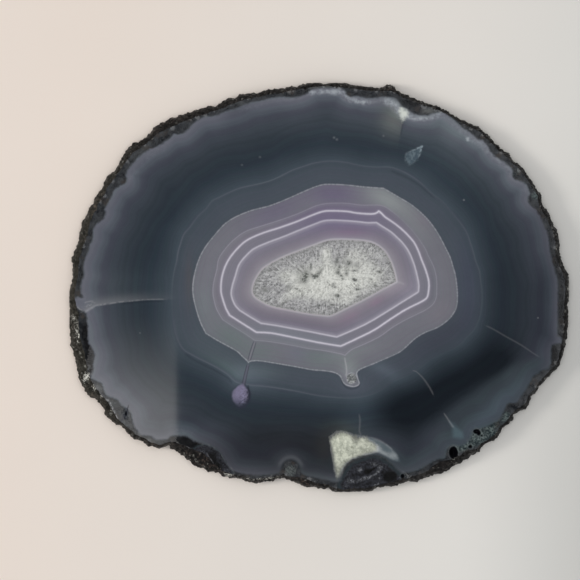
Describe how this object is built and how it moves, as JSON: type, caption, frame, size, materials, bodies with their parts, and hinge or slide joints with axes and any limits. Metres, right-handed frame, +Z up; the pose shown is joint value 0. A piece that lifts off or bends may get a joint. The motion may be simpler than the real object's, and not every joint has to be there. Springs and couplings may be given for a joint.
{
  "type": "agate slice",
  "caption": "Flat oval slice of banded agate with a polished face, dark rough rind wall, quartz centre and sawn underside to rest on.",
  "frame": {"origin": "centre of the bounding box on the underside, on the surface the slice lies on", "axes": "+Z up out of the polished face, +X along the slice's length, +Y across its width, away from the side with the coarse crystal patch"},
  "size_m": [0.1504, 0.123, 0.0065],
  "materials": {
    "agate": "polished face, rough natural rind wall, fine-sawn underside"
  },
  "bodies": {
    "root": {"agate_slice": "agate"}
  },
  "joints": []
}
